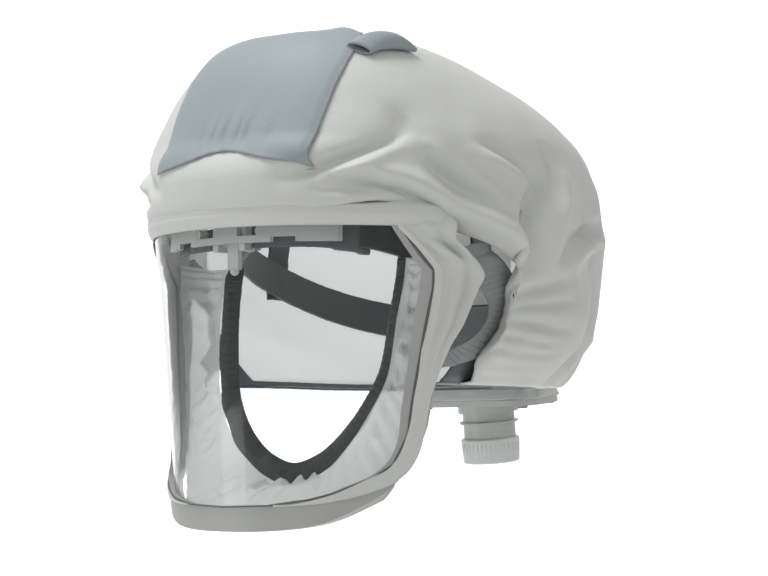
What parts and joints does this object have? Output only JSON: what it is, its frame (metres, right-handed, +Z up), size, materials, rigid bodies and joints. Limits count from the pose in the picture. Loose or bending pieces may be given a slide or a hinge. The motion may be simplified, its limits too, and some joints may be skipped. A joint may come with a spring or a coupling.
{
  "type": "powered air respirator hood",
  "caption": "Loose fitting respirator hood with clear visor, face seal, ratchet head harness and a swivelling hose inlet at the nape",
  "frame": {"origin": "centre of the wearer's head inside the headband, where the head holds the hood", "axes": "+X to the wearer's left, -Y the way the face looks, +Z up"},
  "size_m": [0.2499, 0.3079, 0.2912],
  "materials": {
    "hood_cloth": "matt coated woven cloth",
    "blue_cloth": "matt coated woven cloth",
    "elastic": "knitted elastic",
    "visor_sheet": "clear polished sheet",
    "frame_plastic": "soft satin",
    "seal_cloth": "thin see-through cloth",
    "light_plastic": "satin",
    "dark_plastic": "satin",
    "pad_foam": "brushed knit on foam",
    "strap_web": "woven webbing",
    "brow_cloth": "matt cloth",
    "ring_rubber": "smooth",
    "screw_steel": "plated"
  },
  "bodies": {
    "hood": {"air_baffle": "hood_cloth", "brow_pad": "pad_foam", "brow_roll": "hood_cloth", "brow_strip": "brow_cloth", "carrier_catch": "light_plastic", "carrier_studs": "light_plastic", "cheek_flap_left": "hood_cloth", "cheek_flap_right": "hood_cloth", "chin_rail": "frame_plastic", "clamp_plate": "light_plastic", "crown_fold": "blue_cloth", "crown_pad": "pad_foam", "crown_panel": "blue_cloth", "crown_strap": "strap_web", "ear_hem_left": "elastic", "ear_hem_right": "elastic", "face_elastic": "elastic", "face_seal_chin": "seal_cloth", "face_seal_left": "seal_cloth", "face_seal_right": "seal_cloth", "headband": "dark_plastic", "hood_side_left": "hood_cloth", "hood_side_right": "hood_cloth", "inlet_plate": "light_plastic", "inlet_screws": "screw_steel", "nape_cradle": "dark_plastic", "nape_pad": "pad_foam", "nape_panel": "blue_cloth", "ratchet_cover": "dark_plastic", "retaining_nut": "light_plastic", "spigot": "light_plastic", "spigot_seal_ring": "ring_rubber", "strap_pegs": "light_plastic", "visor": "visor_sheet", "visor_carrier": "light_plastic", "visor_frame_left": "frame_plastic", "visor_frame_right": "frame_plastic"},
    "sleeve": {"swivel_sleeve": "light_plastic"},
    "knob": {"ratchet_knob": "dark_plastic", "ratchet_pinion": "dark_plastic"},
    "tail_left": {"rack_tail_left": "dark_plastic"},
    "tail_right": {"rack_tail_right": "dark_plastic"},
    "lever": {"catch_lever": "light_plastic"}
  },
  "joints": [
    {"name": "sleeve_swivel", "type": "hinge", "parent": "hood", "child": "sleeve", "pos_m": [0, 0.118, -0.066], "axis": [0, 0.1219, -0.9925], "continuous": true},
    {"name": "knob_turn", "type": "hinge", "parent": "hood", "child": "knob", "pos_m": [0, 0.0935, -0.024], "axis": [0, 0.9903, -0.1392], "range_deg": [-115, 0]},
    {"name": "tail_left_slide", "type": "slide", "parent": "hood", "child": "tail_left", "axis": [1, 0, 0], "range_m": [-0.0122, 0]},
    {"name": "tail_right_slide", "type": "slide", "parent": "hood", "child": "tail_right", "axis": [1, 0, 0], "range_m": [0, 0.0122]},
    {"name": "lever_turn", "type": "hinge", "parent": "hood", "child": "lever", "pos_m": [0, -0.1305, 0.017], "axis": [1, 0, 0], "range_deg": [0, 75]}
  ],
  "couplings": [
    {"joint": "tail_left_slide", "follows": "knob_turn", "m_per_rad": 0.006},
    {"joint": "tail_right_slide", "follows": "knob_turn", "m_per_rad": -0.006}
  ]
}
